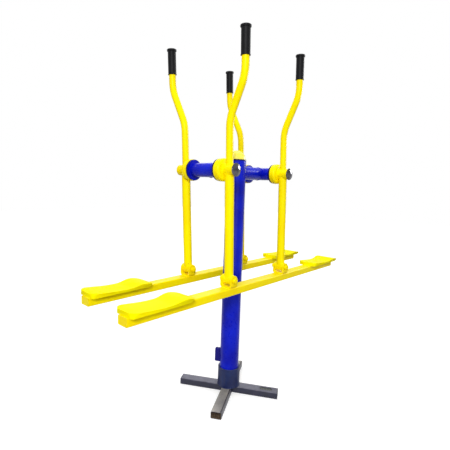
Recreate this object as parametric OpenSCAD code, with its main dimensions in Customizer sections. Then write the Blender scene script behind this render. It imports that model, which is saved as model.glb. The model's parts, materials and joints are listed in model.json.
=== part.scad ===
// Outdoor cross trainer with two stations on one post.
// X runs along the foot rails, Y across them, Z up. The origin is the middle of
// the foot of the post, on the ground. The near side is -Y and the left is -X.

/* [Base] */
// Distance from the post's axis to the end of a leg
leg_reach = 304; // [240:1:400]
// Width of a leg tube
leg_w = 60; // [50:1:80]
// Height of a leg tube
leg_h = 40; // [30:1:60]
// Wall of a leg tube
leg_wall = 3; // [2:0.5:5]
// Turn of the leg cross about the post, from the rails' direction
leg_turn = 29; // [0:1:45]
// Distance from the post's axis to the middle of the slot in the right leg
slot_at = 232; // [150:1:250]
// Length of the slot along the leg
slot_len = 74; // [30:1:90]
// Width of the slot
slot_w = 28; // [12:1:34]
// Bore of the anchor hole under the slot
anchor_d = 18; // [10:1:24]

/* [Post] */
// Outside diameter of the post
post_d = 114; // [100:1:127]
// Wall of the post
post_wall = 4.5; // [4:0.5:8]
// Height of the post's top above the ground
post_top = 1407; // [1380:1:1480]
// Height of the domed cap above the post's top
cap_rise = 53; // [30:1:53]
// How much of the post's rim shows round the cap
cap_inset = 3.5; // [1:0.5:3.5]
// Wall of the domed cap
cap_wall = 3; // [2:0.5:5]
// Depth of the cap's skirt inside the post
cap_plug = 22; // [15:1:24]
// Height of the post socket's rim above the ground
socket_top = 155; // [120:1:220]
// Wall of the post socket
socket_wall = 9; // [6:0.5:14]
// How far the side lug stands out from the post
lug_out = 33; // [20:1:60]
// Height of the lug's lower edge above the ground
lug_low = 175; // [160:1:300]
// Height of the lug
lug_tall = 85; // [50:1:120]
// Thickness of the lug
lug_t = 14; // [8:1:20]

/* [Cross head] */
// Height of the axles above the ground
hub_h = 1335; // [1300:1:1336]
// Distance from the post's axis to each axle
station = 242; // [215:1:300]
// Outside diameter of the spine tube and of the axle tubes
head_d = 76; // [60:1:80]
// Wall of the spine tube and of the axle tubes
head_wall = 4; // [3:0.5:6]
// Half length of an axle tube
axle_half = 93; // [80:1:110]
// Diameter of the discs on the ends of the axle tubes
disc_d = 114; // [112:1:120]
// Thickness of the discs
disc_t = 8; // [6:1:12]
// Diameter of the axle shaft inside the axle tube
shaft_d = 30; // [28:1:31]

/* [Arms] */
// Distance from the middle plane to the arms
arm_plane = 164; // [160:1:170]
// Outside diameter of the tube below each hub
lower_d = 48; // [40:1:49]
// Outside diameter of the bent handle tube above each hub
handle_d = 38; // [32:1:41]
// Wall of the arm tubes
arm_wall = 3; // [2:0.5:4]
// Distance from the axle down to the lower pivot
arm_len = 568; // [500:1:600]
// Height of the first bend above the axle
bend_low = 206; // [150:1:300]
// Angle by which the handle leans out between its bends
bend_turn = 26; // [15:1:35]
// Radius of both bends
bend_r = 190; // [120:1:200]
// How far out the handle stands from the arm
handle_out = 95; // [80:1:120]
// Height of the grip's top above the axle
handle_top = 660; // [640:1:700]
// Length of the grip
grip_len = 134; // [100:1:140]
// Diameter of the grip
grip_d = 45; // [43:1:50]
// Diameter of the knob on the grip's end
grip_knob_d = 53; // [51:1:60]

/* [Hubs] */
// Diameter of the wide drum of a hub
drum_d = 118; // [112:1:122]
// Wall of the drum
drum_wall = 4; // [3:0.5:5]
// Roundness of the drum's outer edge
drum_edge = 14; // [8:1:14]
// Outside diameter of the bearing sleeve
sleeve_d = 60; // [59:1:62]
// Distance from the middle plane to the sleeve's outer end
sleeve_end = 207; // [203:1:215]
// Outside diameter of the ball bearings
bearing_d = 52; // [50:1:53]
// Bore of the ball bearings
bearing_bore = 25; // [22:1:26]
// Width of a ball bearing
bearing_w = 15; // [13:1:16]
// Diameter of the bearing balls
ball_d = 7.8; // [6.5:0.1:8]
// Diameter of the bright caps on the near side
near_cap_d = 68; // [64:1:76]
// How far the bright caps bulge
near_cap_rise = 9; // [6:1:16]
// Swing of the arms each way from hanging straight, in degrees
swing = 35; // [20:1:36]
// Turn of the near arms at rest, with their feet towards the right, in degrees
near_turn = 2.4; // [-10:0.1:10]
// Turn of the far arms at rest, with their feet towards the right, in degrees
far_turn = 3.4; // [-10:0.1:10]
// Diameter of the rubber swing buffers
buffer_d = 18; // [14:1:18]

/* [Rails] */
// Length of a foot rail over its end caps
rail_len = 1750; // [1600:1:1800]
// Width of a rail
rail_w = 66; // [60:1:70]
// Height of a rail
rail_h = 40; // [30:1:45]
// Wall of a rail
rail_wall = 3; // [2:0.5:4]
// Height of the lower pivots above the rail's top
pivot_rise = 41; // [38:1:60]
// Clear width between the ears of a rail bracket
ear_gap = 60; // [56:1:70]
// Thickness of the bracket plate
ear_t = 8; // [6:1:10]
// Length of a rail bracket along the rail
ear_w = 50; // [40:1:56]
// Outside diameter of the arm's foot sleeve
foot_d = 50; // [50:1:54]
// Diameter of the pivot bolt
bolt_d = 16; // [12:1:16]

/* [Pedals] */
// Length of a pedal
pedal_len = 336; // [310:1:360]
// Width of a pedal
pedal_w = 140; // [120:1:160]
// Distance from the middle of a rail to the middle of its left pedal
left_pedal_at = 706; // [670:1:740]
// Distance from the middle of a rail to the middle of its right pedal
right_pedal_at = 734; // [670:1:740]
// Thickness of a pedal at its hollow
pedal_dip = 14; // [12:1:20]
// How much the heel end is higher than the hollow
heel_rise = 10; // [4:1:14]
// How much the toe ridge is higher than the hollow
ridge_rise = 12; // [6:1:16]
// Distance of the toe ridge from the heel end
ridge_at = 280; // [230:1:290]
// Wall of a pedal
pedal_wall = 4; // [3:0.5:5]
// Inward lean of the pedal's sides, from top to bottom
pedal_draft = 10; // [4:1:14]
// Corner radius at the heel
heel_r = 40; // [20:1:55]
// Corner radius at the toe
toe_r = 25; // [15:1:50]
// Distance between the two bolts of a pedal
pedal_bolt_gap = 170; // [120:1:200]
// Diameter of the pedal bolts
pedal_bolt_d = 8; // [6:1:10]

/* [Hidden] */
$fn = 64;

// Colours of the finishes
yellow = "gold";
blue = "mediumblue";
navy = "midnightblue";
leg_grey = "dimgray";
steel = "silver";
black = "black";

// Clearances
run_gap = 0.08;      // between a turning piece and its seat
side_gap = 0.3;      // beside a turning piece, and round what only has to pass
socket_gap = 1;      // between the post and its socket
weld_gap = 0.2;      // between a tube's end and the round tube that it is welded to
disc_gap = 2.5;      // between a fixed disc and the drum that turns beside it
stop_gap = 0.4;      // between a stop and its buffer at the end of the swing
eps = 1;             // how far a cut runs past a face

// Base
end_r = 5;                          // outer corner radius of the leg tubes
anchor_w = leg_wall + 2 * eps;

// Post
socket_d = post_d + 2 * (socket_gap + socket_wall);
cap_d = post_d - 2 * cap_inset;
cap_r = (pow(cap_d / 2, 2) + pow(cap_rise, 2)) / (2 * cap_rise);

// Hub, measured from the middle plane outwards
drum_clear = 1;                              // between the drum and the lower tube
bearing_step = 1.5;                          // from the hub's inner face to the first bearing
nut_room = 40;                               // from the second bearing to the sleeve's end
rim_r = 2;                                   // roundness of the drum's open rim
stop_in = 4;                                 // from the drum's open rim to the stop inside it
disc_out = axle_half + disc_t;               // outer face of a disc
hub_in = disc_out + disc_gap;                // inner face of the hub
bearing_in = hub_in + bearing_step;          // inner face of the first bearing
drum_out = arm_plane - lower_d / 2 - drum_clear;
bearing_out = sleeve_end - nut_room;         // inner face of the second bearing
washer_t = 2.5;
nut_t = 14;
nut_af = 36;
thread_chamfer = 1;
washer_at = bearing_out + bearing_w;
nut_at = washer_at + washer_t;
shaft_end = nut_at + nut_t + thread_chamfer;
shaft_step = 3;                              // how far the shaft's collar stands round a bearing seat
shaft_collar_d = bearing_bore + 2 * shaft_step;
thread_step = 0.5;                           // how far the thread lies below the bearing seat
thread_d = bearing_bore - 2 * thread_step;
seat_step = 2.5;                             // how far the bearings' seats are cut into the sleeve's bore
seat_d = bearing_d - 2 * seat_step;          // bore between the two bearings
race_r = (bearing_d + bearing_bore) / 4;     // radius of the ring of balls
ball_count = 9;
ring_gap = 2.75;                             // half gap between the bearing rings
stop_r = (sleeve_d + drum_d - 2 * drum_wall) / 4;
stop_t = 10;
stop_len = drum_out - drum_edge - hub_in - stop_in;
buffer_turn = swing + asin((stop_t / 2 + buffer_d / 2 + stop_gap) / stop_r);
buffer_len = hub_in + stop_in + stop_len - disc_out;
far_cap_rise = 4;
cap_flange = 3;
cap_skirt = 4;                               // how far a hub cap reaches into its sleeve
cap_skirt_wall = 2;

// Handle: two bends of one radius with a straight between them
handle_straight = (handle_out - 2 * bend_r * (1 - cos(bend_turn))) / sin(bend_turn);
handle_bend_h = 2 * bend_r * sin(bend_turn) + handle_straight * cos(bend_turn);
bend_high = bend_low + handle_bend_h;        // end of the second bend above the axle
knob_h = 12;
grip_lip = 1.5;                              // how far the rim at the grip's foot stands out
grip_end = 5;                                // rubber above the end of the tube
tube_top = handle_top - grip_end;

// Rail
pivot_h = hub_h - arm_len;
rail_top = pivot_h - pivot_rise;
rail_r = 5;
cap_t = 4;
ear_out = ear_gap / 2 + ear_t;
bend_in = 6;                                 // inside radius of the bracket's bends
cap_reach = 12;                              // how far an end cap's skirt runs into the rail
bush_wall = 4;
bush_d = bolt_d + 2 * bush_wall;
bush_len = 22;
bush_rim_t = 1.2;
bush_rim = 5;                                // how far a bush's rim stands out
bush_rim_d = bush_d + 2 * bush_rim;
foot_len = ear_gap - 2 * (bush_rim_t + side_gap);
head_h = 10;
head_af = 1.5 * bolt_d;
lock_nut_h = 14;
bolt_over = 4;                               // bolt standing out of its nut
bolt_washer_t = 2.5;
bolt_washer_d = 2 * bolt_d;

// Pedal
heel_run = pedal_len / 2;                    // length over which the heel slopes down
ridge_half = 85;                             // half length of the toe ridge
toe_cut = 26;                                // how far the toe's underside is cut back
heel_cut = 4;
wave_steps = 42;
rib_t = 4;
rib_gap = 56;
boss_d = 26;
pedal_hold = pedal_dip - pedal_wall;         // depth of the bolts in the pedal's bosses
pedal_head_af = 1.6 * pedal_bolt_d;
pedal_head_h = 0.7 * pedal_bolt_d;
pedal_washer_t = 1.5;

// Height of a pedal's top above its seat at a distance from the heel end
function wave(s) = pedal_dip
    + heel_rise * (0.5 + 0.5 * cos(180 * min(s / heel_run, 1)))
    + ridge_rise * (abs(s - ridge_at) < ridge_half
        ? 0.5 + 0.5 * cos(180 * (s - ridge_at) / ridge_half) : 0);

// Places what is drawn along +Z along +Y instead
module along_y(y = 0) { translate([0, y, 0]) rotate([-90, 0, 0]) children(); }

// Mirrors to the near side, which is -Y
module on_side(sy) { if (sy < 0) mirror([0, 1, 0]) children(); else children(); }

// Moves to the middle of an axle
module at_axle(sx) { translate([sx * station, 0, hub_h]) children(); }

// The turn of an arm at rest
function turn(sy) = sy < 0 ? near_turn : far_turn;

// Moves to an arm's end of an axle and turns with the arm
module at_arm(sx, sy) { on_side(sy) at_axle(sx) rotate([0, -turn(sy), 0]) children(); }

// Moves to the middle of a rail's top, which hangs level from the turned arms
module at_rail(sy) {
    translate([arm_len * sin(turn(sy)), sy * arm_plane,
               rail_top + arm_len * (1 - cos(turn(sy)))]) children();
}

// A round bar or tube along +Z
module tube(od, id, h) {
    difference() {
        cylinder(d = od, h = h);
        translate([0, 0, -eps]) cylinder(d = id, h = h + 2 * eps);
    }
}

// A six-sided head or nut along +Z
module hexagon(af, h) { cylinder(d = af / cos(30), h = h, $fn = 6); }

// A rectangle with round corners
module round_rect(w, h, r) {
    hull_w = w / 2 - r;
    hull_h = h / 2 - r;
    union() {
        square([w, 2 * hull_h], center = true);
        square([2 * hull_w, h], center = true);
        for (sx = [-1, 1]) for (sy = [-1, 1]) translate([sx * hull_w, sy * hull_h]) circle(r = r);
    }
}

// A rectangular tube along +X, its middle on the axis
module box_tube(w, h, wall, r, len) {
    rotate([90, 0, 90]) linear_extrude(len) difference() {
        round_rect(w, h, r);
        round_rect(w - 2 * wall, h - 2 * wall, r - wall / 2);
    }
}

// Base: one long leg from front to back, two legs welded to its sides
module base_long_leg() {
    color(leg_grey) rotate([0, 0, leg_turn]) translate([-leg_reach, 0, leg_h / 2])
        box_tube(leg_w, leg_h, leg_wall, end_r, 2 * leg_reach);
}

module side_leg() {
    translate([leg_w / 2, 0, leg_h / 2])
        box_tube(leg_w, leg_h, leg_wall, end_r, leg_reach - leg_w / 2);
}

module base_side_legs() {
    color(leg_grey) rotate([0, 0, leg_turn]) {
        rotate([0, 0, 90]) side_leg();
        rotate([0, 0, -90]) difference() {
            side_leg();
            translate([slot_at, 0, leg_h - leg_wall - eps]) linear_extrude(leg_wall + 2 * eps)
                round_rect(slot_len, slot_w, slot_w / 2 - 0.5);
            translate([slot_at, 0, -eps]) cylinder(d = anchor_d, h = anchor_w);
        }
    }
}

module post_socket() {
    color(navy) translate([0, 0, leg_h])
        tube(socket_d, post_d + 2 * socket_gap, socket_top - leg_h);
}

module post() {
    color(blue) difference() {
        translate([0, 0, leg_h]) tube(post_d, post_d - 2 * post_wall, post_top - leg_h);
        translate([-post_d, 0, hub_h]) rotate([0, 90, 0])
            cylinder(d = head_d + 2 * weld_gap, h = 2 * post_d);
    }
}

// A flat lug with round outer corners, welded to the post towards the left leg
module post_lug() {
    lug_r = 8;
    color(navy) rotate([0, 0, leg_turn + 90]) difference() {
        translate([0, lug_t / 2, lug_low + lug_tall / 2]) rotate([90, 0, 0]) linear_extrude(lug_t)
            translate([(post_d / 2 + lug_out) / 2, 0])
            round_rect(post_d / 2 + lug_out, lug_tall, lug_r);
        translate([0, 0, lug_low - eps]) cylinder(d = post_d, h = lug_tall + 2 * eps);
    }
}

// A domed cap on the post's rim, in one piece with the skirt inside the post
module post_cap() {
    plug_r = post_d / 2 - post_wall - side_gap;
    bore_r = plug_r - cap_wall;
    color(yellow) translate([0, 0, post_top]) rotate_extrude($fn = 96) difference() {
        union() {
            intersection() {
                translate([0, cap_rise - cap_r]) circle(r = cap_r, $fn = 128);
                square([cap_d, cap_rise + eps]);
            }
            translate([0, -cap_plug]) square([plug_r, cap_plug + eps]);
        }
        intersection() {
            translate([0, cap_rise - cap_r]) circle(r = cap_r - cap_wall, $fn = 128);
            translate([0, cap_wall]) square([cap_d, cap_rise]);
        }
        translate([0, -cap_plug - eps]) square([bore_r, cap_plug + cap_wall + 2 * eps]);
    }
}

// Cross head: a spine through the post, coped on to an axle tube at each end
module spine_tube() {
    color(blue) difference() {
        translate([-station, 0, hub_h]) rotate([0, 90, 0])
            tube(head_d, head_d - 2 * head_wall, 2 * station);
        for (sx = [-1, 1]) at_axle(sx) along_y(-axle_half)
            cylinder(d = head_d + 2 * weld_gap, h = 2 * axle_half);
    }
}

module axle_tube(sx) {
    color(blue) at_axle(sx) along_y(-axle_half)
        tube(head_d, head_d - 2 * head_wall, 2 * axle_half);
}

module axle_discs() {
    color(blue) for (sx = [-1, 1]) for (sy = [-1, 1]) on_side(sy) at_axle(sx)
        along_y(axle_half) tube(disc_d, shaft_d, disc_t);
}

// A stepped steel bar through each axle tube, with a bearing seat and a thread at each end
module axle_shafts() {
    color(steel) for (sx = [-1, 1]) at_axle(sx) for (sy = [-1, 1]) on_side(sy) along_y(0)
        rotate_extrude() polygon([
            [0, 0], [shaft_d / 2, 0], [shaft_d / 2, disc_out],
            [shaft_collar_d / 2, disc_out], [shaft_collar_d / 2, bearing_in],
            [bearing_bore / 2, bearing_in], [bearing_bore / 2, washer_at],
            [thread_d / 2, washer_at], [thread_d / 2, shaft_end - thread_chamfer],
            [thread_d / 2 - thread_chamfer, shaft_end], [0, shaft_end]]);
}

// One ring of a ball bearing, with the groove for its balls
module bearing_ring(inner, outer) {
    rotate_extrude() difference() {
        translate([inner, 0]) square([outer - inner, bearing_w]);
        translate([race_r, bearing_w / 2]) circle(d = ball_d + 2 * run_gap);
    }
}

module bearing_inner_rings() {
    color(steel) for (sx = [-1, 1]) for (sy = [-1, 1]) on_side(sy) at_axle(sx)
        for (y = [bearing_in, bearing_out]) along_y(y)
            bearing_ring(bearing_bore / 2, race_r - ring_gap);
}

// Spacer tube, washer and nut on each end of the shafts
module axle_nuts() {
    spacer_len = bearing_out - bearing_in - bearing_w;
    color(steel) for (sx = [-1, 1]) for (sy = [-1, 1]) on_side(sy) at_axle(sx) {
        along_y(bearing_in + bearing_w) tube(shaft_collar_d, bearing_bore, spacer_len);
        along_y(washer_at) tube(nut_af, thread_d, washer_t);
        along_y(nut_at) difference() {
            hexagon(nut_af, nut_t);
            translate([0, 0, -eps]) cylinder(d = thread_d, h = nut_t + 2 * eps);
        }
    }
}

// Two rubber stops on each disc, one for each end of the swing
module swing_buffers() {
    color(black) for (sx = [-1, 1]) for (sy = [-1, 1]) on_side(sy) at_axle(sx)
        for (turn = [-buffer_turn, buffer_turn]) rotate([0, turn, 0])
            translate([0, 0, stop_r]) along_y(disc_out) cylinder(d = buffer_d, h = buffer_len);
}

// Half section of a drum, its outer edge round
module drum_outline(inset) {
    r = drum_d / 2 - inset;
    edge = drum_edge - inset;
    last = drum_out - inset;
    union() {
        translate([0, hub_in]) square([r - edge, last - hub_in]);
        translate([0, hub_in]) square([r, last - edge - hub_in]);
        translate([r - edge, last - edge]) circle(r = edge);
    }
}

// Hub: a bearing sleeve with a wide drum round its inner end, and a stop inside the drum
module hub(sx, sy) {
    lap = 1.5;                                 // how far the stop runs into the walls
    color(yellow) at_arm(sx, sy) {
        along_y(0) rotate_extrude($fn = 96) difference() {
            union() {
                difference() {
                    drum_outline(0);
                    drum_outline(drum_wall);
                    translate([drum_d / 2 - rim_r, hub_in - eps]) square(rim_r + eps);
                }
                translate([drum_d / 2 - rim_r, hub_in + rim_r]) circle(r = rim_r);
                translate([0, hub_in]) square([sleeve_d / 2, sleeve_end - hub_in]);
            }
            translate([0, hub_in - eps]) square([seat_d / 2, sleeve_end - hub_in + 2 * eps]);
            translate([0, hub_in - eps])
                square([bearing_d / 2, bearing_in + bearing_w - hub_in + eps]);
            translate([0, bearing_out]) square([bearing_d / 2, sleeve_end - bearing_out + eps]);
        }
        translate([-stop_t / 2, hub_in + stop_in, sleeve_d / 2 - lap])
            cube([stop_t, stop_len, (drum_d - sleeve_d) / 2 - drum_wall + 2 * lap]);
    }
}

module lower_tube(sx, sy) {
    color(yellow) at_arm(sx, sy) difference() {
        translate([0, arm_plane, -arm_len]) tube(lower_d, lower_d - 2 * arm_wall, arm_len);
        along_y(drum_out) cylinder(d = sleeve_d, h = sleeve_end - drum_out, $fn = 96);
        translate([0, 0, -arm_len]) along_y(drum_out)
            cylinder(d = foot_d + 2 * weld_gap, h = sleeve_end - drum_out);
    }
}

// One bend of the handle, from straight up to leaning out
module handle_bend(d) {
    translate([0, bend_r, bend_low]) rotate([90, 0, -90])
        rotate_extrude(angle = bend_turn, $fn = 96) translate([bend_r, 0]) circle(d = d, $fn = 64);
}

// The whole bent bar of a handle, from the axle up
module handle_bar(d) {
    lean_y = bend_r * (1 - cos(bend_turn));
    lean_z = bend_low + bend_r * sin(bend_turn);
    cylinder(d = d, h = bend_low);
    handle_bend(d);
    translate([0, lean_y, lean_z]) rotate([-bend_turn, 0, 0]) cylinder(d = d, h = handle_straight);
    translate([0, handle_out, bend_low + bend_high]) rotate([180, 0, 0]) handle_bend(d);
    translate([0, handle_out, bend_high]) cylinder(d = d, h = tube_top - bend_high);
}

module handle_tube(sx, sy) {
    color(yellow) at_arm(sx, sy) difference() {
        translate([0, arm_plane, 0]) difference() {
            handle_bar(handle_d);
            handle_bar(handle_d - 2 * arm_wall);
        }
        along_y(drum_out) cylinder(d = sleeve_d, h = sleeve_end - drum_out, $fn = 96);
    }
}

// The sleeve across the foot of an arm, which turns between the ears of its bracket
module foot_sleeve(sx, sy) {
    color(yellow) at_arm(sx, sy) translate([0, 0, -arm_len])
        along_y(arm_plane - foot_len / 2) tube(foot_d, bush_d, foot_len);
}

module foot_bushes(sx, sy) {
    bore = bolt_d + 2 * run_gap;
    color(black) at_arm(sx, sy) translate([0, arm_plane, -arm_len])
        for (end = [-1, 1]) on_side(end) {
            along_y(foot_len / 2 - bush_len) tube(bush_d, bore, bush_len);
            along_y(foot_len / 2) tube(bush_rim_d, bore, bush_rim_t);
        }
}

// A rubber grip with a rounded knob at its top and a thin rim at its foot
module grip(sx, sy) {
    low = handle_top - grip_len;
    soft_r = 4;
    color(black) at_arm(sx, sy) translate([0, arm_plane + handle_out, 0])
        difference() {
            rotate_extrude() union() {
                translate([0, low]) square([grip_d / 2 - 1, grip_len - soft_r]);
                translate([0, low + 1]) square([grip_d / 2, grip_len - knob_h]);
                translate([0, low]) square([grip_d / 2 + grip_lip, 2 * grip_lip]);
                translate([0, handle_top - knob_h + soft_r])
                    square([grip_knob_d / 2, knob_h - 2 * soft_r]);
                translate([0, handle_top - knob_h]) square([grip_knob_d / 2 - soft_r, knob_h]);
                for (z = [handle_top - knob_h + soft_r, handle_top - soft_r])
                    translate([grip_knob_d / 2 - soft_r, z]) circle(r = soft_r, $fn = 32);
            }
            translate([0, 0, low - eps]) cylinder(d = handle_d, h = tube_top - low + eps);
        }
}

// A domed cap with a round rim, which plugs the outer end of the sleeve
module hub_cap(sx, sy) {
    d = sy < 0 ? near_cap_d : sleeve_d;
    rise = sy < 0 ? near_cap_rise : far_cap_rise;
    rim = cap_flange / 2;
    dome_half = d / 2 - 2 * rim;
    dome_r = (pow(dome_half, 2) + pow(rise, 2)) / (2 * rise);
    skirt_d = bearing_d - side_gap;
    color(sy < 0 ? steel : yellow) at_arm(sx, sy) along_y(sleeve_end) {
        rotate_extrude($fn = 96) union() {
            square([d / 2 - rim, cap_flange]);
            translate([d / 2 - rim, rim]) circle(r = rim, $fn = 32);
            intersection() {
                translate([0, cap_flange + rise - dome_r]) circle(r = dome_r, $fn = 128);
                square([d / 2, cap_flange + rise + eps]);
            }
        }
        translate([0, 0, -cap_skirt]) tube(skirt_d, skirt_d - 2 * cap_skirt_wall, cap_skirt);
    }
}

module bearings(sx, sy) {
    color(steel) at_arm(sx, sy) for (y = [bearing_in, bearing_out]) along_y(y) {
        bearing_ring(race_r + ring_gap, bearing_d / 2);
        for (i = [0 : ball_count - 1]) rotate([0, 0, i * 360 / ball_count])
            translate([race_r, 0, bearing_w / 2]) sphere(d = ball_d, $fn = 32);
    }
}

// Rail: a closed rectangular tube, drilled for the pedal bolts
module rail(sy) {
    tube_len = rail_len - 2 * cap_t;
    color(yellow) at_rail(sy) difference() {
        translate([-tube_len / 2, 0, -rail_h / 2])
            box_tube(rail_w, rail_h, rail_wall, rail_r, tube_len);
        for (sx = [-1, 1]) for (e = [-1, 1]) translate([pedal_x(sx) + pedal_bolt(e), 0, -rail_h - eps])
            cylinder(d = pedal_bolt_d + 2 * side_gap, h = rail_h + 2 * eps);
    }
}

// Heel end of a pedal from the middle of the rail, and a bolt's distance from that end
function pedal_x(sx) = (sx < 0 ? -left_pedal_at : right_pedal_at) - pedal_len / 2;
function pedal_bolt(e) = pedal_len / 2 + e * pedal_bolt_gap / 2;

module rail_end_caps(sy) {
    color(yellow) at_rail(sy) for (sx = [-1, 1]) translate([sx * (rail_len / 2 - cap_t), 0, 0])
        rotate([0, 0, sx < 0 ? 180 : 0]) translate([0, 0, -rail_h / 2]) rotate([90, 0, 90]) {
            linear_extrude(cap_t) round_rect(rail_w, rail_h, rail_r);
            translate([0, 0, -cap_reach]) linear_extrude(cap_reach) difference() {
                round_rect(rail_w - 2 * rail_wall, rail_h - 2 * rail_wall, rail_r - rail_wall / 2);
                round_rect(rail_w - 4 * rail_wall, rail_h - 4 * rail_wall, 1);
            }
        }
}

// A bent plate with two round-topped ears, welded on the rail
module rail_brackets(sy) {
    color(yellow) at_rail(sy) for (sx = [-1, 1]) translate([sx * station, 0, 0])
        difference() {
            intersection() {
                translate([-ear_w / 2, 0, 0]) rotate([90, 0, 90]) linear_extrude(ear_w)
                    difference() {
                        bracket_outline(ear_out, bend_in + ear_t, 0);
                        bracket_outline(ear_gap / 2, bend_in, ear_t);
                    }
                rotate([90, 0, 0]) translate([0, 0, -ear_out]) linear_extrude(2 * ear_out)
                    union() {
                        translate([-ear_w / 2, 0]) square([ear_w, pivot_rise]);
                        translate([0, pivot_rise]) circle(d = ear_w);
                    }
            }
            translate([0, 0, pivot_rise]) along_y(-ear_out - eps)
                cylinder(d = bolt_d + 2 * side_gap, h = 2 * (ear_out + eps));
        }
}

// Half of a channel's outline: round lower corners, open at the top
module bracket_outline(half, r, z) {
    top = pivot_rise + ear_w / 2 + eps;
    union() {
        translate([-half, z + r]) square([2 * half, top - z - r]);
        translate([-half + r, z]) square([2 * (half - r), r + eps]);
        for (s = [-1, 1]) translate([s * (half - r), z + r]) circle(r = r);
    }
}

// Bolt, washers and lock nut of each lower pivot
module pivot_bolts(sy) {
    reach = ear_out + bolt_washer_t;
    bolt_len = 2 * reach + lock_nut_h + bolt_over;
    color(steel) at_rail(sy) on_side(sy) for (sx = [-1, 1])
        translate([sx * station, 0, pivot_rise]) {
            along_y(reach) hexagon(head_af, head_h);
            along_y(reach - bolt_len) cylinder(d = bolt_d, h = bolt_len + eps);
            for (y = [-reach, ear_out]) along_y(y) difference() {
                cylinder(d = bolt_washer_d, h = bolt_washer_t);
                translate([0, 0, -eps]) cylinder(d = bolt_d, h = bolt_washer_t + 2 * eps);
            }
            along_y(-reach - lock_nut_h) difference() {
                hexagon(head_af, lock_nut_h);
                translate([0, 0, -eps]) cylinder(d = bolt_d, h = lock_nut_h + 2 * eps);
            }
        }
}

// Side view of a pedal: its waved top, taken down by skin, with both ends cut back below
module pedal_profile(skin, inset) {
    steps = [for (i = [0 : wave_steps]) inset + (pedal_len - 2 * inset) * i / wave_steps];
    polygon(concat(
        [for (s = steps) [s, wave(s) - skin]],
        [[pedal_len - toe_cut - inset, -eps * sign(skin)], [heel_cut + inset, -eps * sign(skin)]]));
}

// Front view of a pedal: sides that lean in towards the bottom
module pedal_section(inset) {
    tall = pedal_dip + heel_rise;
    half = pedal_w / 2 - inset;
    low = half - pedal_draft;
    spread = half + pedal_draft * ridge_rise / tall;
    polygon([[-spread, tall + ridge_rise], [spread, tall + ridge_rise],
             [low, 0], [low, -eps * sign(inset)], [-low, -eps * sign(inset)], [-low, 0]]);
}

// Plan of a pedal: wide round corners at the heel and tighter ones at the toe
module pedal_plan(inset) {
    half = pedal_w / 2 - inset;
    hr = heel_r - inset;
    tr = toe_r - inset;
    union() {
        translate([inset + hr, -half]) square([pedal_len - 2 * inset - hr - tr, 2 * half]);
        translate([inset, -half + hr]) square([hr + eps, 2 * (half - hr)]);
        translate([pedal_len - inset - tr - eps, -half + tr]) square([tr + eps, 2 * (half - tr)]);
        for (s = [-1, 1]) {
            translate([inset + hr, s * (half - hr)]) circle(r = hr);
            translate([pedal_len - inset - tr, s * (half - tr)]) circle(r = tr);
        }
    }
}

module pedal_form(skin, inset) {
    tall = pedal_dip + heel_rise + ridge_rise;
    intersection() {
        translate([0, pedal_w / 2, 0]) rotate([90, 0, 0]) linear_extrude(pedal_w)
            pedal_profile(skin, inset);
        rotate([90, 0, 90]) linear_extrude(pedal_len) pedal_section(inset);
        translate([0, 0, -eps]) linear_extrude(tall + 2 * eps) pedal_plan(inset);
    }
}

// A moulded foot plate: waved top, leaning skirt, cross ribs and two bolt bosses underneath
module pedal(sx, sy) {
    bolts = [for (e = [-1, 1]) pedal_bolt(e)];
    color(yellow) at_rail(sy) translate([pedal_x(sx), 0, 0])
        difference() {
            union() {
                difference() {
                    pedal_form(0, 0);
                    pedal_form(pedal_wall, pedal_wall);
                }
                intersection() {
                    pedal_form(1, 1);
                    union() {
                        for (s = [rib_gap : rib_gap : pedal_len - rib_gap])
                            translate([s - rib_t / 2, -pedal_w / 2, 0])
                                cube([rib_t, pedal_w, pedal_dip + heel_rise + ridge_rise]);
                        for (s = bolts) translate([s, 0, 0])
                            cylinder(d = boss_d, h = pedal_dip + heel_rise + ridge_rise);
                    }
                }
            }
            for (s = bolts) translate([s, 0, -eps])
                cylinder(d = pedal_bolt_d, h = pedal_hold + eps);
        }
}

// Bolts up through the rail into the pedals' bosses, with washers under the rail
module pedal_bolts(sy) {
    seat_z = -rail_h - pedal_washer_t;
    color(steel) at_rail(sy) for (sx = [-1, 1]) for (e = [-1, 1])
        translate([pedal_x(sx) + pedal_bolt(e), 0, 0]) {
            translate([0, 0, seat_z - pedal_head_h]) hexagon(pedal_head_af, pedal_head_h);
            translate([0, 0, seat_z - eps])
                cylinder(d = pedal_bolt_d, h = pedal_hold - side_gap - seat_z + eps);
            translate([0, 0, seat_z]) difference() {
                cylinder(d = 2 * pedal_bolt_d, h = pedal_washer_t);
                translate([0, 0, -eps]) cylinder(d = pedal_bolt_d, h = pedal_washer_t + 2 * eps);
            }
        }
}

base_long_leg();
base_side_legs();
post_socket();
post();
post_lug();
post_cap();
spine_tube();
axle_tube(-1);  // left_axle_tube
axle_tube(1);  // right_axle_tube
axle_discs();
axle_shafts();
bearing_inner_rings();
axle_nuts();
swing_buffers();

hub(-1, -1);  // left_near_hub
lower_tube(-1, -1);  // left_near_lower_tube
handle_tube(-1, -1);  // left_near_handle_tube
foot_sleeve(-1, -1);  // left_near_foot_sleeve
grip(-1, -1);  // left_near_grip
hub_cap(-1, -1);  // left_near_hub_cap
bearings(-1, -1);  // left_near_bearings
foot_bushes(-1, -1);  // left_near_foot_bushes

hub(1, -1);  // right_near_hub
lower_tube(1, -1);  // right_near_lower_tube
handle_tube(1, -1);  // right_near_handle_tube
foot_sleeve(1, -1);  // right_near_foot_sleeve
grip(1, -1);  // right_near_grip
hub_cap(1, -1);  // right_near_hub_cap
bearings(1, -1);  // right_near_bearings
foot_bushes(1, -1);  // right_near_foot_bushes

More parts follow.
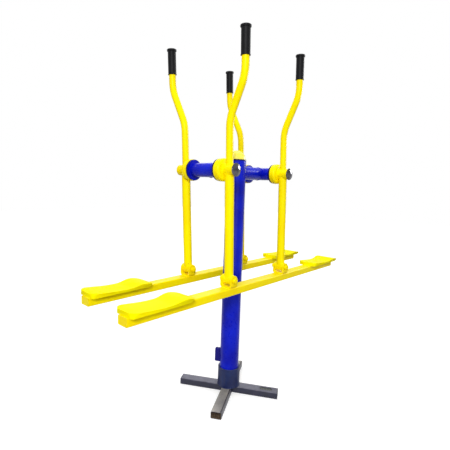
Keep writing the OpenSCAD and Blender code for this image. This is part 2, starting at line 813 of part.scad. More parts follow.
hub(-1, 1);  // left_far_hub
lower_tube(-1, 1);  // left_far_lower_tube
handle_tube(-1, 1);  // left_far_handle_tube
foot_sleeve(-1, 1);  // left_far_foot_sleeve
grip(-1, 1);  // left_far_grip
hub_cap(-1, 1);  // left_far_hub_cap
bearings(-1, 1);  // left_far_bearings
foot_bushes(-1, 1);  // left_far_foot_bushes

hub(1, 1);  // right_far_hub
lower_tube(1, 1);  // right_far_lower_tube
handle_tube(1, 1);  // right_far_handle_tube
foot_sleeve(1, 1);  // right_far_foot_sleeve
grip(1, 1);  // right_far_grip
hub_cap(1, 1);  // right_far_hub_cap
bearings(1, 1);  // right_far_bearings
foot_bushes(1, 1);  // right_far_foot_bushes

rail(-1);  // near_rail
rail_brackets(-1);  // near_rail_brackets
pivot_bolts(-1);  // near_pivot_bolts
pedal(-1, -1);  // near_left_pedal
pedal(1, -1);  // near_right_pedal
pedal_bolts(-1);  // near_pedal_bolts
rail_end_caps(-1);  // near_rail_end_caps

rail(1);  // far_rail
rail_brackets(1);  // far_rail_brackets
pivot_bolts(1);  // far_pivot_bolts
pedal(-1, 1);  // far_left_pedal
pedal(1, 1);  // far_right_pedal
pedal_bolts(1);  // far_pedal_bolts
rail_end_caps(1);  // far_rail_end_caps
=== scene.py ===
# Outdoor cross trainer: finishes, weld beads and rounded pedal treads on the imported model
import json
import math

import bmesh
import bpy
from mathutils import Matrix, Vector


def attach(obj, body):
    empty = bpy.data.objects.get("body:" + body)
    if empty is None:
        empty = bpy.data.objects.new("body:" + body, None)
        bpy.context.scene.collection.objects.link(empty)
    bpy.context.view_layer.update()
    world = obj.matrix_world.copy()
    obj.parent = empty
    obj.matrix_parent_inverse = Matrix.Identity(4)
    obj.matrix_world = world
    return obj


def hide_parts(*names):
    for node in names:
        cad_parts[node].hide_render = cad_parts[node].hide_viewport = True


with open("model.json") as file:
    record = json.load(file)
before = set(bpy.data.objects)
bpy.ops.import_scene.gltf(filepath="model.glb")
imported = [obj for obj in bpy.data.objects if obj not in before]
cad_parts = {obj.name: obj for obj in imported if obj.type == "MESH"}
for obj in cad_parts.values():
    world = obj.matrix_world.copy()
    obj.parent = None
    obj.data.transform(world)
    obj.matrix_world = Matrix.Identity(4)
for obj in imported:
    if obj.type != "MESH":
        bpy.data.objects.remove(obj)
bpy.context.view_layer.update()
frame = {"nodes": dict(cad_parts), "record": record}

print("stage: frame loaded,", len(frame["nodes"]), "nodes")

# Places on the object that several pieces share, in metres and degrees
rig = {
    "station": 0.242,        # post to axle
    "hubHeight": 1.335,
    "armPlane": 0.164,
    "armLength": 0.568,
    # Radii
    "lowerTube": 0.024, "handleTube": 0.019, "sleeve": 0.030, "footSleeve": 0.025,
    "headTube": 0.038, "post": 0.057, "socket": 0.067, "disc": 0.057, "washer": 0.015,
    # Faces, heights and turns
    "drumFace": 0.139, "axleHalf": 0.093,    # drum's outer face and axle tube's end, off the middle
    "postTop": 1.407, "legTop": 0.040,
    "pivotRise": 0.041,                      # rail's top to lower pivot
    "turns": {-1: 2.4, 1: 3.4},      # how far each side's arms are swung at rest
    "legTurn": 29.0,
}
sides = {-1: "near", 1: "far"}
ends = {-1: "left", 1: "right"}


# Shader maths
class Wire:
    # One output socket that can stand in a Python expression
    def __init__(self, paint, socket):
        self.paint = paint
        self.socket = socket

    def withMath(self, operation, first, second):
        return self.paint.node("ShaderNodeMath", {"operation": operation}, {0: first, 1: second})

    def __add__(self, other):
        return self.withMath("ADD", self, other)

    def __radd__(self, other):
        return self.withMath("ADD", other, self)

    def __sub__(self, other):
        return self.withMath("SUBTRACT", self, other)

    def __rsub__(self, other):
        return self.withMath("SUBTRACT", other, self)

    def __mul__(self, other):
        return self.withMath("MULTIPLY", self, other)

    def __rmul__(self, other):
        return self.withMath("MULTIPLY", other, self)

    def __pow__(self, other):
        return self.withMath("POWER", self, other)

    def __abs__(self):
        return self.withMath("ABSOLUTE", self, 0.0)


class Paint:
    # A material under construction
    def __init__(self, name):
        self.material = bpy.data.materials.new(name)
        self.material.use_nodes = True
        self.begin(self.material.node_tree, "ShaderNodeOutputMaterial", "ShaderNodeBsdfPrincipled")

    def begin(self, tree, outputKind, shaderKind):
        self.tree = tree
        tree.nodes.clear()
        self.shader = tree.nodes.new(shaderKind)
        ending = tree.nodes.new(outputKind)
        tree.links.new(self.shader.outputs[0], ending.inputs["Surface"])

    def fill(self, socket, value):
        if isinstance(value, Wire):
            self.tree.links.new(value.socket, socket)
        elif isinstance(value, (tuple, list)) and socket.type == "RGBA" and len(value) == 3:
            socket.default_value = (*value, 1.0)
        else:
            socket.default_value = value

    def node(self, kind, settings=None, inputs=None, output=0):
        made = self.tree.nodes.new(kind)
        for key, value in (settings or {}).items():
            setattr(made, key, value)
        for key, value in (inputs or {}).items():
            self.fill(made.inputs[key], value)
        return Wire(self, made.outputs[output])

    def set(self, **values):
        for key, value in values.items():
            self.fill(self.shader.inputs[key.replace("_", " ")], value)

    def place(self):
        return self.node("ShaderNodeTexCoord", output="Object")

    def upward(self):                         # 1 on what faces up, -1 on what faces down
        return self.parts(self.node("ShaderNodeTexCoord", output="Normal"))[2]

    def parts(self, vector):
        made = self.tree.nodes.new("ShaderNodeSeparateXYZ")
        self.fill(made.inputs[0], vector)
        return [Wire(self, socket) for socket in made.outputs]

    def noise(self, place, scale, detail, roughness):
        return self.node("ShaderNodeTexNoise", {}, {
            "Vector": place, "Scale": scale, "Detail": detail, "Roughness": roughness})

    def between(self, value, low, high):      # 0 below low, 1 above high, smooth between
        return self.node("ShaderNodeMapRange", {"interpolation_type": "SMOOTHSTEP"}, {
            "Value": value, "From Min": low, "From Max": high})

    def mix(self, factor, first, second):
        return self.node("ShaderNodeMix", {"data_type": "RGBA"}, {
            0: factor, 6: first, 7: second}, output=2)

    def stretch(self, place, scale):
        return self.node("ShaderNodeMapping", {}, {"Vector": place, "Scale": scale})

    def bump(self, height, strength, distance, under=None):
        inputs = {"Height": height, "Strength": strength, "Distance": distance}
        if under is not None:
            inputs["Normal"] = under
        return self.node("ShaderNodeBump", {}, inputs)


def tint(red, green, blue):          # a colour as seen on a screen, 0 to 255, made linear
    def linear(level):
        level /= 255.0
        return level / 12.92 if level <= 0.04045 else ((level + 0.055) / 1.055) ** 2.4
    return (linear(red), linear(green), linear(blue))


def railShift(sy):
    # A rail hangs level from its turned arms
    turn = math.radians(rig["turns"][sy])
    return Vector((rig["armLength"] * math.sin(turn), 0, rig["armLength"] * (1 - math.cos(turn))))


# Enamel. In every finish a noise is its scale, detail and roughness, edges are where
# a mask starts and is full, and a bump is its strength and depth
rimShadeBands = {                  # how far inside each edge the painted shade of the rim starts and is full
    "disc": (0.0030, 0.0006), "discFace": (0.003, 0.001), "postEnd": (0.009, 0.006),
}
creviceShadeBand = {               # sideBlend parts the near side from the far one, at the middle
    "sideBlend": 0.01,
    "edge": 0.0005, "fade": (0.001, 0.006),  # the painted shade starts at the washer and fades out round it
    "grain": (0.3, 0.6), "share": 0.45,
}
lugBand = {"outside": (0.0004, 0.0010), "below": (0.40, 0.41)}      # off the post, up the post
enamelWear = {
    "cloud": (4.0, 0.55), "grain": (2.0, 0.6), "peel": (1.0, 0.4),  # each look gives the scale
    "cloudEdges": (0.3, 0.7),
    "streakStretch": (30.0, 30.0, 3.0), "streak": (1.0, 3.0, 0.6),
    "streakShare": 0.6, "cloudShare": 0.4, "grimeEdges": (0.52, 0.75),
    "dustFacing": (0.5, 1.0), "dustEdges": (0.35, 0.65),
    "chipEdges": (0.10, 0.16), "patchScale": 0.21, "patch": (2.0, 0.7), "patchEdges": (0.66, 0.70),
    "roughGrain": 0.12, "roughDust": 0.25, "roughGrime": 0.2, "roughChips": 0.3,
    "peelDepth": 0.0004, "chipBump": (0.4, 0.0003), "coatRough": 0.12,
}
yellowLook = {
    "deep": tint(252, 224, 0), "pale": tint(255, 236, 0), "dirt": tint(214, 184, 4),
    "dustTint": tint(250, 234, 70), "under": tint(120, 84, 50), "cloudScale": 7.0,
    "grainScale": 90.0, "peelScale": 420.0, "chipScale": 38.0, "chips": 0.5,
    "grime": 0.25, "dust": 0.2, "rough": 0.34, "peel": 0.02, "coat": 0.0, "shine": 0.07,
    "creviceShadeTint": tint(150, 122, 10),
}
blueLook = {
    "deep": tint(6, 16, 166), "pale": tint(12, 34, 206), "dirt": tint(10, 12, 96),
    "dustTint": tint(70, 80, 190), "under": tint(96, 96, 110), "cloudScale": 6.0,
    "grainScale": 80.0, "peelScale": 380.0, "chipScale": 34.0, "chips": 0.6,
    "grime": 0.3, "dust": 0.2, "rough": 0.29, "peel": 0.03, "coat": 0.0, "shine": 0.12,
    "rimShadeTint": tint(16, 17, 58), "lugTint": tint(24, 22, 118),
}
navyLook = {
    "deep": tint(11, 22, 66), "pale": tint(21, 38, 86), "dirt": tint(48, 43, 52),
    "dustTint": tint(100, 106, 136), "under": tint(112, 84, 66), "cloudScale": 14.0,
    "grainScale": 120.0, "peelScale": 300.0, "chipScale": 60.0, "chips": 1.0,
    "grime": 0.6, "dust": 0.5, "rough": 0.46, "peel": 0.3, "coat": 0.05, "shine": 0.25,
}


def headRimShade(paint, place):
    # Painted shade: 1 on the edges of the axle discs and along the post's end under its cap, where the
    # gaps beside the drums and under the cap are shaded
    x, y, z = paint.parts(place)
    along, above = abs(x) - rig["station"], z - rig["hubHeight"]
    fromAxle = (along * along + above * above) ** 0.5
    limits = {"disc": rig["disc"], "discFace": rig["axleHalf"], "postEnd": rig["postTop"]}
    discEdge, discFace, postEnd = (
        [limit - inset for inset in rimShadeBands[key]] for key, limit in limits.items())
    onDisc = paint.between(fromAxle, *discEdge) * paint.between(abs(y), *discFace)
    return onDisc + paint.between(z, *postEnd)


def pivotCreviceShade(paint, place):
    # Painted shade: 1 in the crevice round the washers of the lower pivots
    x, y, z = paint.parts(place)
    blend = creviceShadeBand["sideBlend"]
    onFar = paint.between(y, -blend, blend)
    near, far = railShift(-1), railShift(1)
    along = abs(x - near.x - onFar * (far.x - near.x)) - rig["station"]
    above = z - (rig["hubHeight"] - rig["armLength"] + near.z) - onFar * (far.z - near.z)
    fromBolt = (along * along + above * above) ** 0.5
    outside = paint.between(fromBolt, rig["washer"] - creviceShadeBand["edge"], rig["washer"])
    fade = paint.between(fromBolt, *(rig["washer"] + reach for reach in creviceShadeBand["fade"]))
    return outside * (1.0 - fade)


def lugMask(paint, place):
    # 1 on the blue pieces low down that stand off the post
    x, y, z = paint.parts(place)
    fromPost = (x * x + y * y) ** 0.5
    outside = paint.between(fromPost, *(rig["post"] + reach for reach in lugBand["outside"]))
    return outside * (1.0 - paint.between(z, *lugBand["below"]))


def enamel(name, look):
    # Sprayed gloss enamel: clouding, orange peel, dust on what faces up, a few chips
    wear = enamelWear
    paint = Paint(name)
    place = paint.place()
    cloud = paint.noise(place, look["cloudScale"], *wear["cloud"])
    fine = paint.noise(place, look["grainScale"], *wear["grain"])
    streak = paint.noise(paint.stretch(place, wear["streakStretch"]), *wear["streak"])
    colour = paint.mix(paint.between(cloud, *wear["cloudEdges"]), look["deep"], look["pale"])
    running = streak * wear["streakShare"] + cloud * wear["cloudShare"]
    grime = paint.between(running, *wear["grimeEdges"]) * look["grime"]
    colour = paint.mix(grime, colour, look["dirt"])
    dust = paint.between(paint.upward(), *wear["dustFacing"])
    dust = dust * paint.between(cloud, *wear["dustEdges"]) * look["dust"]
    colour = paint.mix(dust, colour, look["dustTint"])
    cells = paint.node("ShaderNodeTexVoronoi", {"feature": "F1"}, {
        "Vector": place, "Scale": look["chipScale"], "Randomness": 1.0})
    patches = paint.noise(place, look["chipScale"] * wear["patchScale"], *wear["patch"])
    chips = 1.0 - paint.between(cells, *wear["chipEdges"])
    chips = chips * paint.between(patches, *wear["patchEdges"]) * look["chips"]
    colour = paint.mix(chips, colour, look["under"])
    # Painted shade on the disc rims and on the post's top end
    if "rimShadeTint" in look:
        colour = paint.mix(headRimShade(paint, place), colour, look["rimShadeTint"])
    # Painted shade round each lower pivot's washer, broken up by the grain
    if "creviceShadeTint" in look:
        crevice = pivotCreviceShade(paint, place) * paint.between(fine, *creviceShadeBand["grain"])
        colour = paint.mix(crevice * creviceShadeBand["share"], colour, look["creviceShadeTint"])
    if "lugTint" in look:
        colour = paint.mix(lugMask(paint, place), colour, look["lugTint"])
    rough = look["rough"] + wear["roughGrain"] * (fine - 0.5) + wear["roughDust"] * dust
    rough = rough + wear["roughGrime"] * grime + wear["roughChips"] * chips
    peel = paint.noise(place, look["peelScale"], *wear["peel"])
    relief = paint.bump(peel, look["peel"], wear["peelDepth"])
    relief = paint.bump(1.0 - chips, *wear["chipBump"], relief)
    paint.set(Base_Color=colour, Roughness=rough, Normal=relief)
    paint.set(Specular_IOR_Level=look["shine"], Coat_Roughness=wear["coatRough"],
              Coat_Weight=look["coat"])
    return paint


# Base legs
legLook = {
    "cloud": (16.0, 5.0, 0.6), "fine": (160.0, 3.0, 0.65), "cloudEdges": (0.3, 0.7),
    "sides": (tint(15, 17, 37), tint(27, 28, 55)),
    "longTop": (tint(132, 129, 124), tint(166, 161, 154)),
    "sideTop": (tint(68, 67, 83), tint(98, 98, 114)),
    "longEdge": (0.0295, 0.0305),                # where the side legs begin, across the long one
    "scuffStretch": (60.0, 60.0, 200.0), "scuffs": (1.0, 4.0, 0.7), "scuffEdges": (0.55, 0.72),
    "scuffShare": 0.7, "scuffTint": tint(84, 82, 96),
    "edgePaintAndShade": (0.0205, 0.0225), "edgePaintAndShadeWaver": 0.006, "edgePaintAndShadeTint": tint(62, 58, 60),
    "bareEdges": (0.25, 0.65), "bareWaver": 0.5,
    "boreHalf": (0.0272, 0.0278), "boreFoot": (0.0026, 0.0030), "boreTop": (0.0370, 0.0374),
    "boreEdges": (0.35, 0.7),
    "rust": (tint(76, 60, 46), tint(122, 104, 84)), "grit": (tint(112, 116, 114), tint(160, 162, 156)),
    "spotEdges": (0.60, 0.68), "spotShare": 0.55, "spotTint": tint(96, 66, 50),
    "metal": 0.25, "rough": 0.42, "roughGrain": 0.3, "roughBore": 0.35, "roughSpots": 0.2,
    "fineBump": (0.35, 0.0006), "cloudBump": (0.25, 0.002),
}


def wornLegs(look):
    # Dark blue enamel on the sides, worn through to grey steel on top, rust inside
    paint = Paint("wornLegPaint")
    place = paint.place()
    x, y, z = paint.parts(place)
    turn = math.radians(rig["legTurn"])
    along = x * math.cos(turn) + y * math.sin(turn)
    across = y * math.cos(turn) - x * math.sin(turn)
    cloud, fine = paint.noise(place, *look["cloud"]), paint.noise(place, *look["fine"])
    scuffs = paint.noise(paint.stretch(place, look["scuffStretch"]), *look["scuffs"])
    clouded = paint.between(cloud, *look["cloudEdges"])
    onSide = paint.between(abs(across), *look["longEdge"])
    longTop, sideTop = (paint.mix(clouded, *look[key]) for key in ("longTop", "sideTop"))
    topTint = paint.mix(onSide, longTop, sideTop)
    scuffed = paint.between(scuffs, *look["scuffEdges"]) * look["scuffShare"]
    topTint = paint.mix(scuffed, topTint, look["scuffTint"])
    # A dark strip along the right edge of the long leg's top: partly old paint left there, partly
    # painted shade where the rounded edge turns down to the shaded side
    edgePaintAndShade = paint.between(-1.0 * across + (fine - 0.5) * look["edgePaintAndShadeWaver"], *look["edgePaintAndShade"])
    topTint = paint.mix(edgePaintAndShade * (1.0 - onSide), topTint, look["edgePaintAndShadeTint"])
    bare = paint.between(paint.upward() + (cloud - 0.5) * look["bareWaver"], *look["bareEdges"])
    colour = paint.mix(bare, paint.mix(clouded, *look["sides"]), topTint)
    # The bore of the long tube is rusty and the side tubes' is dusty
    nearLong = 1.0 - paint.between(abs(across), *look["boreHalf"])
    nearCross = 1.0 - paint.between(abs(along), *look["boreHalf"])
    within = paint.between(z, *look["boreFoot"]) * (1.0 - paint.between(z, *look["boreTop"]))
    inside = within * paint.node("ShaderNodeMath", {"operation": "MAXIMUM"}, {0: nearLong, 1: nearCross})
    grained = paint.between(fine, *look["boreEdges"])
    grit, rust = (paint.mix(grained, *look[key]) for key in ("grit", "rust"))
    colour = paint.mix(inside, colour, paint.mix(nearLong, grit, rust))
    spots = paint.between(fine * 0.5 + cloud * 0.5, *look["spotEdges"]) * look["spotShare"]
    colour = paint.mix(spots, colour, look["spotTint"])
    rough = look["rough"] + look["roughGrain"] * (fine - 0.5) + look["roughBore"] * inside
    paint.set(Base_Color=colour, Metallic=bare * look["metal"] * (1.0 - inside),
              Roughness=rough + look["roughSpots"] * spots)
    paint.set(Normal=paint.bump(cloud, *look["cloudBump"], paint.bump(fine, *look["fineBump"])))
    return paint


# Rubber, nylon and plating
gripLook = {
    "fine": (260.0, 2.0, 0.6), "cloud": (24.0, 3.0, 0.55), "cloudEdges": (0.35, 0.7),
    "tints": (tint(5, 5, 7), tint(15, 15, 18)), "knurlScale": 55.0,
    "rough": 0.5, "roughGrain": 0.25, "shine": 0.12,
    "knurlBump": (0.25, 0.0008), "fineBump": (0.2, 0.0003),
}
bufferLook = {
    "fine": (200.0, 3.0, 0.6), "tints": (tint(24, 24, 25), tint(44, 43, 42)),
    "rough": 0.65, "roughGrain": 0.2, "fineBump": (0.3, 0.0004),
}
bushLook = {
    "fine": (150.0, 2.0, 0.5), "tints": (tint(30, 30, 32), tint(52, 51, 50)),
    "rough": 0.42, "roughGrain": 0.15, "fineBump": (0.15, 0.0002),
}
platingReflectionLook = {
    "fine": (420.0, 2.0, 0.6), "cloud": (40.0, 4.0, 0.6), "hazeEdges": (0.42, 0.66),
    # Both greys are dark as a painted reflection of dark surroundings
    "tints": (tint(84, 83, 86), tint(58, 57, 62)),
    "rough": 0.12, "roughHaze": 0.12, "roughGrain": 0.04, "fineBump": (0.05, 0.0002),
}


def rubberGrip(look):
    # Black rubber with fine rings, greyed by hands
    paint = Paint("gripRubber")
    place = paint.place()
    fine, cloud = paint.noise(place, *look["fine"]), paint.noise(place, *look["cloud"])
    colour = paint.mix(paint.between(cloud, *look["cloudEdges"]), *look["tints"])
    rings = paint.node("ShaderNodeTexWave", {"wave_type": "BANDS", "bands_direction": "Z"}, {
        "Vector": place, "Scale": look["knurlScale"], "Distortion": 0.0})
    paint.set(Base_Color=colour, Roughness=look["rough"] + look["roughGrain"] * (fine - 0.5),
              Specular_IOR_Level=look["shine"])
    paint.set(Normal=paint.bump(fine, *look["fineBump"], paint.bump(rings, *look["knurlBump"])))
    return paint


def darkMoulding(name, look):
    # Matt dark rubber or nylon that hardly shows
    paint = Paint(name)
    fine = paint.noise(paint.place(), *look["fine"])
    paint.set(Base_Color=paint.mix(fine, *look["tints"]),
              Roughness=look["rough"] + look["roughGrain"] * (fine - 0.5),
              Normal=paint.bump(fine, *look["fineBump"]))
    return paint


def platedCapDarkReflection(look):
    # Plated cap, hazed and finger-marked; its base colour is darkened as a painted reflection of dark
    # surroundings
    paint = Paint("platedCapDarkReflection")
    place = paint.place()
    cloud, fine = paint.noise(place, *look["cloud"]), paint.noise(place, *look["fine"])
    haze = paint.between(cloud, *look["hazeEdges"])
    paint.set(Base_Color=paint.mix(haze, *look["tints"]), Metallic=1.0,
              Roughness=look["rough"] + look["roughHaze"] * haze + look["roughGrain"] * fine,
              Normal=paint.bump(fine, *look["fineBump"]))
    return paint


# Bolts, shafts and bearings
steelWear = {
    "cloud": (60.0, 4.0, 0.6), "fine": (500.0, 2.0, 0.6), "cloudEdges": (0.35, 0.65),
    "cloudShare": 0.7, "fineShare": 0.3, "rustEdges": (0.56, 0.66), "rustTint": tint(122, 74, 44),
    "dulling": 0.8, "rough": 0.34, "roughGrain": 0.14, "roughRust": 0.3, "fineBump": (0.15, 0.0002),
}
zincLook = {"dull": tint(132, 132, 138), "pale": tint(176, 176, 180), "rust": 0.4}
bearingLook = {"dull": tint(160, 160, 166), "pale": tint(196, 196, 200), "rust": 0.05}


def zincSteel(name, look):
    # Zinc-plated steel: a soft grey spangle with first rust in the crevices
    wear = steelWear
    paint = Paint(name)
    place = paint.place()
    cloud, fine = paint.noise(place, *wear["cloud"]), paint.noise(place, *wear["fine"])
    colour = paint.mix(paint.between(cloud, *wear["cloudEdges"]), look["dull"], look["pale"])
    mottle = cloud * wear["cloudShare"] + fine * wear["fineShare"]
    rust = paint.between(mottle, *wear["rustEdges"]) * look["rust"]
    colour = paint.mix(rust, colour, wear["rustTint"])
    paint.set(Base_Color=colour, Metallic=1.0 - wear["dulling"] * rust,
              Roughness=wear["rough"] + wear["roughGrain"] * fine + wear["roughRust"] * rust,
              Normal=paint.bump(fine, *wear["fineBump"]))
    return paint


# Pedals and post cap
mouldingWear = {
    "cloud": (4.0, 0.55), "grain": (3.0, 0.6), "cloudEdges": (0.3, 0.7),   # each look gives the scale
    "treadStretch": (18.0, 70.0, 30.0), "tread": (1.0, 4.0, 0.7), "treadEdges": (0.5, 0.75),
    "scuffFacing": (0.6, 0.95), "roughGrain": 0.15, "roughScuff": 0.25, "grainDepth": 0.0004,
}
pedalLook = {
    "deep": tint(252, 234, 0), "pale": tint(255, 245, 0), "scuffTint": tint(228, 200, 14),
    "cloudScale": 12.0, "grainScale": 300.0, "scuff": 0.4, "rough": 0.46, "grain": 0.3, "shine": 0.02,
}
capLook = {
    "deep": tint(244, 226, 70), "pale": tint(252, 240, 104), "scuffTint": tint(222, 206, 96),
    "cloudScale": 18.0, "grainScale": 220.0, "scuff": 0.4, "rough": 0.34, "grain": 0.15, "shine": 0.2,
}


def mouldedPlastic(name, look):
    # Moulded plastic with a faint grain, faded and scuffed where it is trodden or rained on
    wear = mouldingWear
    paint = Paint(name)
    place = paint.place()
    cloud = paint.noise(place, look["cloudScale"], *wear["cloud"])
    fine = paint.noise(place, look["grainScale"], *wear["grain"])
    colour = paint.mix(paint.between(cloud, *wear["cloudEdges"]), look["deep"], look["pale"])
    tread = paint.noise(paint.stretch(place, wear["treadStretch"]), *wear["tread"])
    scuff = paint.between(paint.upward(), *wear["scuffFacing"])
    scuff = scuff * paint.between(tread, *wear["treadEdges"]) * look["scuff"]
    rough = look["rough"] + wear["roughGrain"] * (fine - 0.5) + wear["roughScuff"] * scuff
    paint.set(Base_Color=paint.mix(scuff, colour, look["scuffTint"]), Roughness=rough,
              Specular_IOR_Level=look["shine"],
              Normal=paint.bump(fine, look["grain"], wear["grainDepth"]))
    return paint


finishes = {
    "yellow_paint": enamel("yellowEnamel", yellowLook),
    "blue_paint": enamel("blueEnamel", blueLook),
    "navy_paint": enamel("navyEnamel", navyLook),
    "leg_paint": wornLegs(legLook),
    "cap_plastic": mouldedPlastic("capPlastic", capLook),
    "pedal_plastic": mouldedPlastic("pedalPlastic", pedalLook),
    "grip_rubber": rubberGrip(gripLook),
    "buffer_rubber": darkMoulding("bufferRubber", bufferLook),
    "bush_plastic": darkMoulding("bushNylon", bushLook),
    "chrome_cap": platedCapDarkReflection(platingReflectionLook),
    "zinc_steel": zincSteel("zincSteel", zincLook),
    "bearing_steel": zincSteel("bearingSteel", bearingLook),
}
slotOf = {part["node"]: part["material_slot"] for part in frame["record"]["subparts"]}
for nodeName, cadObject in frame["nodes"].items():
    for materialSlot in cadObject.material_slots:
        materialSlot.material = finishes[slotOf[nodeName]].material
print("stage: finishes on all nodes")


# Mesh helpers
meshLimits = {"merge": 1e-6, "cadMerge": 1e-5, "sharpAngle": 40.0}     # metres, metres, degrees


def finishPiece(name, mesh, body, slotName, matrix=None):
    # Moves a bmesh to its place, makes its faces point outwards and lets it ride
    if matrix is not None:
        bmesh.ops.transform(mesh, matrix=matrix, verts=mesh.verts)
    bmesh.ops.remove_doubles(mesh, verts=mesh.verts, dist=meshLimits["merge"])
    bmesh.ops.recalc_face_normals(mesh, faces=mesh.faces)
    data = bpy.data.meshes.new(name)
    mesh.to_mesh(data)
    mesh.free()
    data.shade_smooth()
    data.set_sharp_from_angle(angle=math.radians(meshLimits["sharpAngle"]))
    piece = bpy.data.objects.new(name, data)
    bpy.context.scene.collection.objects.link(piece)
    data.materials.append(finishes[slotName].material)
    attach(piece, body)
    return piece


def armSpace(sx, sy):
    # From an arm's own space (axle at the origin, outwards is +Y) to the object's
    return (Matrix.Translation((sx * rig["station"], 0, rig["hubHeight"]))
            @ Matrix.Rotation(math.radians(-rig["turns"][sy]), 4, "Y")
            @ Matrix.Diagonal((1, sy, 1, 1)))


# Welds
weldLook = {
    "bead": 0.0026, "drumBead": 0.0022, "discBead": 0.0028, "postBead": 0.003,     # radii
    "rounds": 8, "steps": 144, "leastSteps": 8, "stepsPerRipple": 4,
    "ripple": 0.16, "ripples": 46, "pitch": 0.0036,      # height, number round a tube, length
    "legHalf": 0.028,                                    # half of a bead along the socket's foot
}


def bead(mesh, radius, place, capped):
    # The round start of a weld bead: its vertices, then all that a spin takes along
    ring = bmesh.ops.create_circle(mesh, cap_ends=capped, radius=radius,
                                   segments=weldLook["rounds"])["verts"]
    bmesh.ops.transform(mesh, matrix=place, verts=ring)
    edges = dict.fromkeys(edge for vertex in ring for edge in vertex.link_edges)
    faces = dict.fromkeys(face for vertex in ring for face in vertex.link_faces)
    return ring, [*ring, *edges, *faces]


def weldRound(mesh, radius, matrix, seat=None, sweep=360.0, start=0.0, size=None):
    # A rippled bead round a tube of this radius about Z, at the height that seat gives
    turn = (Matrix.Rotation(math.radians(start), 4, "Z") @ Matrix.Translation((radius, 0, 0))
            @ Matrix.Rotation(math.radians(90), 4, "X"))
    ring, geometry = bead(mesh, size or weldLook["bead"], turn, capped=sweep < 360)
    before = set(mesh.verts) - set(ring)
    bmesh.ops.spin(mesh, geom=geometry, cent=(0, 0, 0), axis=(0, 0, 1), angle=math.radians(sweep),
                   steps=max(weldLook["leastSteps"], int(weldLook["steps"] * sweep / 360)),
                   use_merge=sweep >= 360)
    made = [vertex for vertex in mesh.verts if vertex not in before]
    for vertex in made:
        angle = math.atan2(vertex.co.y, vertex.co.x)
        core = Vector((radius * math.cos(angle), radius * math.sin(angle), 0))
        swell = 1 + weldLook["ripple"] * math.sin(angle * weldLook["ripples"])
        vertex.co = core + (vertex.co - core) * swell
        if seat is not None:
            vertex.co.z += seat(core.x, core.y)
    bmesh.ops.transform(mesh, matrix=matrix, verts=made)


def weldLine(mesh, first, last, size):
    # A rippled straight bead between two points
    first = Vector(first)
    run = Vector(last) - first
    ahead = run.normalized()
    place = Matrix.Translation(first) @ run.to_track_quat("Z", "Y").to_matrix().to_4x4()
    ring, geometry = bead(mesh, size, place, capped=True)
    before = set(mesh.verts) - set(ring)
    steps = int(run.length / weldLook["pitch"] * weldLook["stepsPerRipple"])
    bmesh.ops.spin(mesh, geom=geometry, cent=(0, 0, 0), axis=(0, 0, 1), dvec=run / steps,
                   angle=0.0, steps=steps)
    for vertex in mesh.verts:
        if vertex not in before:
            along = (vertex.co - first).dot(ahead)
            core = first + ahead * along
            swell = 1 + weldLook["ripple"] * math.sin(along / weldLook["pitch"] * math.tau)
            vertex.co = core + (vertex.co - core) * swell


def acrossTube(radius):
    # Height of a round tube of this radius, lying along Y, over a point
    return lambda x, y: math.sqrt(max(radius * radius - x * x, 0.0))


def alongTube(radius):
    # The same for a tube lying along X
    return lambda x, y: math.sqrt(max(radius * radius - y * y, 0.0))


def armWelds(sx, sy):
    # Both tubes on the hub's sleeve, the lower one on its foot sleeve, and the sleeve on the drum
    mesh = bmesh.new()
    standing = Matrix.Translation((0, rig["armPlane"], 0))
    hanging = standing @ Matrix.Diagonal((1, 1, -1, 1))
    foot = Matrix.Translation((0, rig["armPlane"], -rig["armLength"]))
    drumFace = (Matrix.Translation((0, rig["drumFace"], 0))
                @ Matrix.Rotation(math.radians(-90), 4, "X"))
    weldRound(mesh, rig["handleTube"], standing, acrossTube(rig["sleeve"]))
    weldRound(mesh, rig["lowerTube"], hanging, acrossTube(rig["sleeve"]))
    weldRound(mesh, rig["lowerTube"], foot, acrossTube(rig["footSleeve"]))
    weldRound(mesh, rig["sleeve"], drumFace, size=weldLook["drumBead"])
    name = f"{ends[sx]}_{sides[sy]}_arm_welds"
    finishPiece(name, mesh, f"{ends[sx]}_{sides[sy]}_arm", "yellow_paint", armSpace(sx, sy))


def headWelds():
    # The discs on the axle tubes, and the spine on the post and on the axle tubes
    mesh = bmesh.new()
    for sx in (-1, 1):
        axle = Matrix.Translation((sx * rig["station"], 0, rig["hubHeight"]))
        for sy in (-1, 1):
            lying = (Matrix.Translation((0, sy * rig["axleHalf"], 0))
                     @ Matrix.Rotation(math.radians(90), 4, "X"))
            weldRound(mesh, rig["headTube"], axle @ lying, size=weldLook["discBead"])
        toPost = (Matrix.Translation((0, 0, rig["hubHeight"]))
                  @ Matrix.Rotation(math.radians(90 * sx), 4, "Y"))
        weldRound(mesh, rig["headTube"], toPost, alongTube(rig["post"]), size=weldLook["postBead"])
        toAxle = axle @ Matrix.Rotation(math.radians(-90 * sx), 4, "Y")
        weldRound(mesh, rig["headTube"], toAxle, alongTube(rig["headTube"]))
    finishPiece("head_welds", mesh, "stand", "blue_paint")


def socketWelds():
    # A short bead on top of each leg, where the socket stands on it
    mesh = bmesh.new()
    half = math.degrees(math.asin(weldLook["legHalf"] / rig["socket"]))
    for quarter in range(4):
        middle = rig["legTurn"] + 90 * quarter
        weldRound(mesh, rig["socket"], Matrix.Translation((0, 0, rig["legTop"])), sweep=2 * half,
                  start=middle - half, size=weldLook["postBead"])
    finishPiece("socket_welds", mesh, "stand", "navy_paint")


bracketFoot = {
    "halfLong": 0.025,        # half of a bracket's length along the rail
    "halfWide": 0.024,        # half of the bead at its open end
    "corner": 0.0268,         # its bends, off the rail's middle line
    "bead": 0.0022,
}


